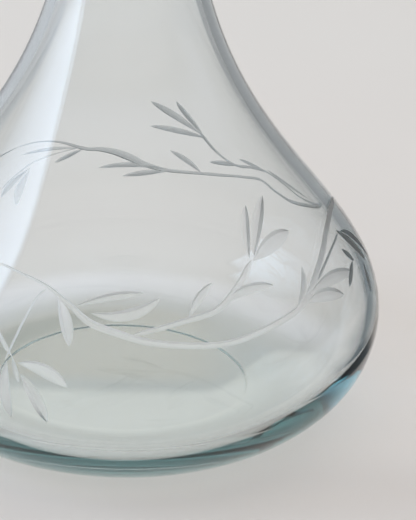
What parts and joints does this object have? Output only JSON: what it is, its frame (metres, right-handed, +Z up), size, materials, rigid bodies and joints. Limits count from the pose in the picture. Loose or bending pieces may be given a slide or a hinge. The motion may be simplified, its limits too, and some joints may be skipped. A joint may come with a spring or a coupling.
{
  "type": "glass decanter",
  "caption": "Clear blown glass decanter with a low wide belly, sloping shoulder, slim neck, engraved leafy vine and a lift-out ball stopper with a soft sealing sleeve.",
  "frame": {"origin": "middle of the foot, on the surface the decanter stands on", "axes": "+Z up along the axis of the neck; the body is round, so +X and +Y are any two level directions"},
  "size_m": [0.18, 0.18, 0.2904],
  "materials": {
    "body_glass": "fire-polished clear glass with a faint blue-green tint and a frosted engraved vine",
    "knob_glass": "polished clear glass with a faint blue-green tint",
    "sleeve_silicone": "matt translucent silicone"
  },
  "bodies": {
    "decanter": {"decanter_body": "body_glass"},
    "stopper": {"stopper_knob": "knob_glass", "stopper_sleeve": "sleeve_silicone"}
  },
  "joints": [
    {"name": "stopper_lift", "type": "slide", "parent": "decanter", "child": "stopper", "axis": [0, 0, 1], "range_m": [0, 0.09]}
  ]
}
